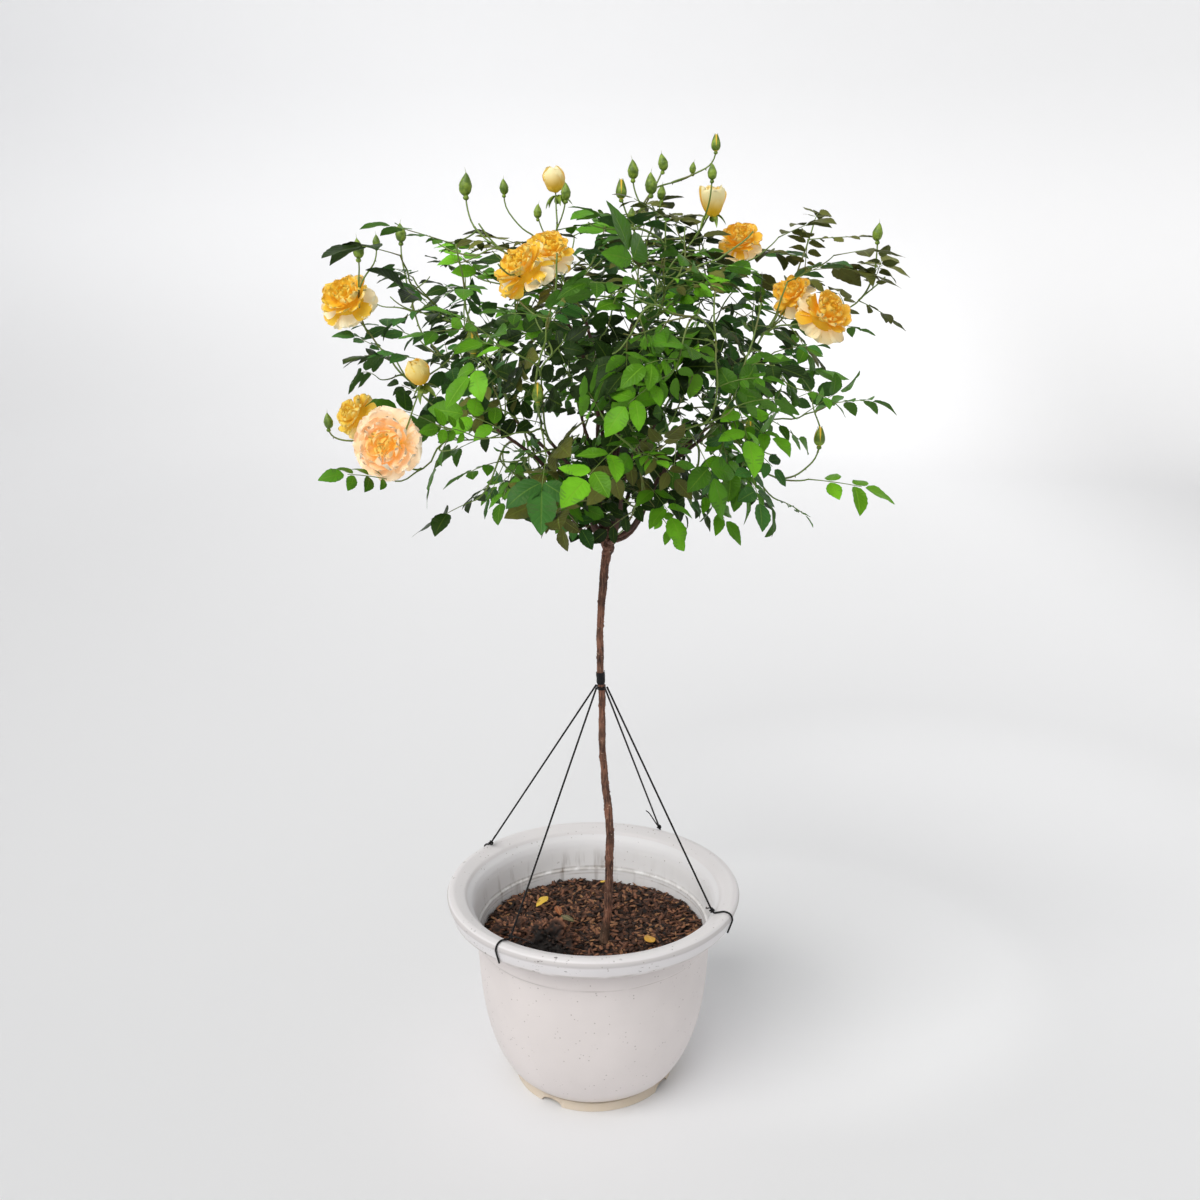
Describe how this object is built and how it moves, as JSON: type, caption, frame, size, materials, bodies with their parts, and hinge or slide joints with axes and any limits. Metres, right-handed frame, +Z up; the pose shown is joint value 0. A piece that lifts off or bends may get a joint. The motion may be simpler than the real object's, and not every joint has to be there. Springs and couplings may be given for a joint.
{
  "type": "potted standard rose",
  "caption": "Standard rose in a round pot: one bare guyed stem, and a wide airy head of boughs, twigs, leaves, buds and apricot-yellow blooms.",
  "frame": {"origin": "centre of the pot's flat underside", "axes": "+Z up along the stem; the side of the picture is -Y, and +X is to the right in the picture"},
  "size_m": [0.7528, 0.6628, 1.314],
  "materials": {
    "pot": "satin off-white moulded plastic with fine specks and dirt marks",
    "mulch": "moist reddish-brown bark chips",
    "bark": "reddish-brown rough bark with pale lenticels",
    "cord": "black braided cord and tape",
    "leaves": "satin green leaves, young lime ones and olive ones, green to reddish twigs"
  },
  "bodies": {
    "root": {"pot": "pot", "mulch": "mulch", "trunk": "bark", "tie_band": "cord", "guy_cord_front_left": "cord", "guy_cord_front_right": "cord", "guy_cord_back_right": "cord", "guy_cord_back_left": "cord", "bough_right": "bark", "bough_back_right": "bark", "bough_back": "bark", "bough_back_left": "bark", "bough_left": "bark", "bough_front_left": "bark", "bough_front": "bark", "bough_front_right": "bark", "bough_top_right": "bark", "bough_top_back": "bark", "bough_top_left": "bark", "bough_top_front": "bark", "foliage_right": "leaves", "foliage_back_right": "leaves", "foliage_back": "leaves", "foliage_back_left": "leaves", "foliage_left": "leaves", "foliage_front_left": "leaves", "foliage_front": "leaves", "foliage_front_right": "leaves", "foliage_top_right": "leaves", "foliage_top_back": "leaves", "foliage_top_left": "leaves", "foliage_top_front": "leaves"}
  },
  "joints": []
}
